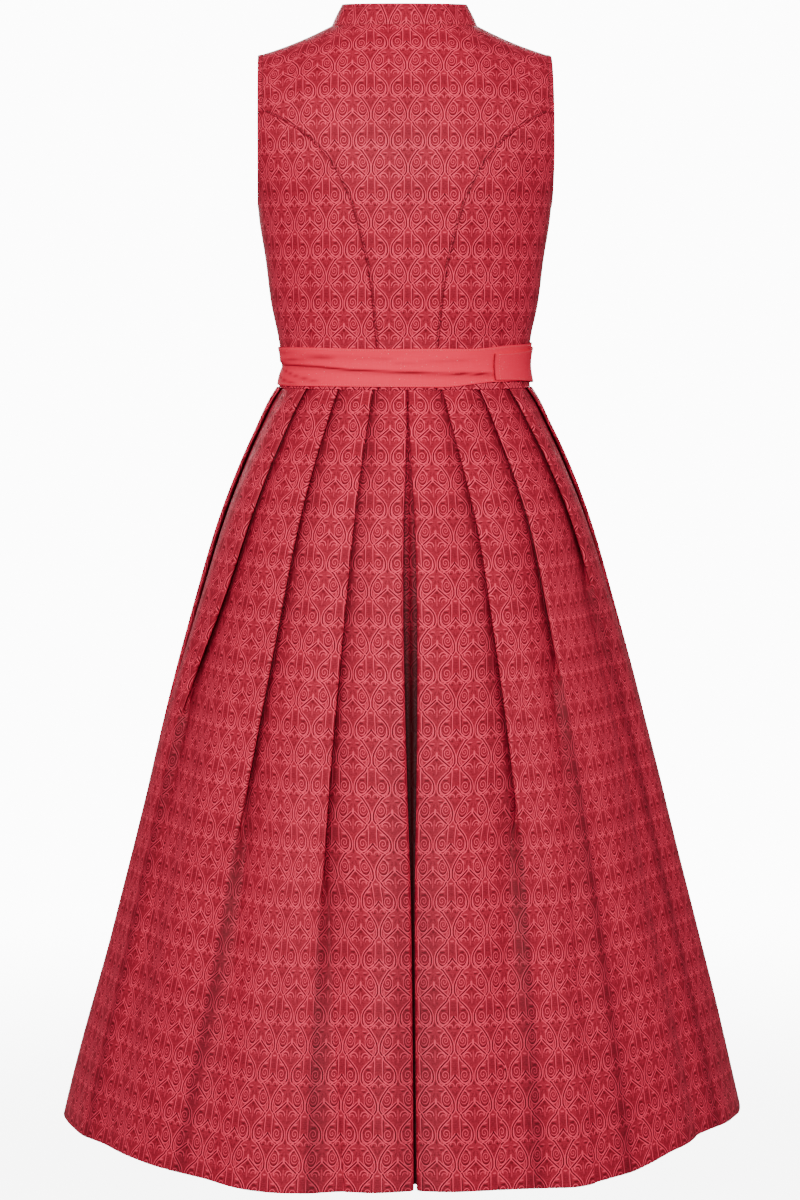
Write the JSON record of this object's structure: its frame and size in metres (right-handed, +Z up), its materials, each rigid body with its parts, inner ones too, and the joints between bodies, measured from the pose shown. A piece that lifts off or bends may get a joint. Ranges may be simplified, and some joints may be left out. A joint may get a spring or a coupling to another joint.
{
  "type": "dirndl",
  "caption": "Sleeveless brocade dress with a stand collar, a buttoned princess bodice, a knife-pleated skirt and an apron with its band and tie round the waist.",
  "frame": {"origin": "on the body axis at the height of the back neck seam, where the shoulders carry the garment", "axes": "+Z up, the wearer's front faces -Y, the wearer's left is +X"},
  "size_m": [0.7073, 0.7171, 1.1625],
  "materials": {
    "brocade": "woven two-tone red brocade with a slight sheen",
    "apron_cloth": "plain-woven coral cotton, slightly slubbed",
    "button_metal": "antiqued silver-coloured metal"
  },
  "bodies": {
    "root": {"bodice_back_centre": "brocade", "bodice_back_side_left": "brocade", "bodice_back_side_right": "brocade", "bodice_front_side_left": "brocade", "bodice_front_side_right": "brocade", "bodice_front_left": "brocade", "bodice_front_right": "brocade", "collar": "brocade", "skirt_back_left": "brocade", "skirt_back_right": "brocade", "skirt_front_left": "brocade", "skirt_front_right": "brocade", "apron_panel": "apron_cloth", "apron_waistband": "apron_cloth", "apron_tie": "apron_cloth", "front_button_1": "button_metal", "front_button_2": "button_metal", "front_button_3": "button_metal", "front_button_4": "button_metal", "front_button_5": "button_metal", "front_button_6": "button_metal", "front_button_7": "button_metal"}
  },
  "joints": []
}
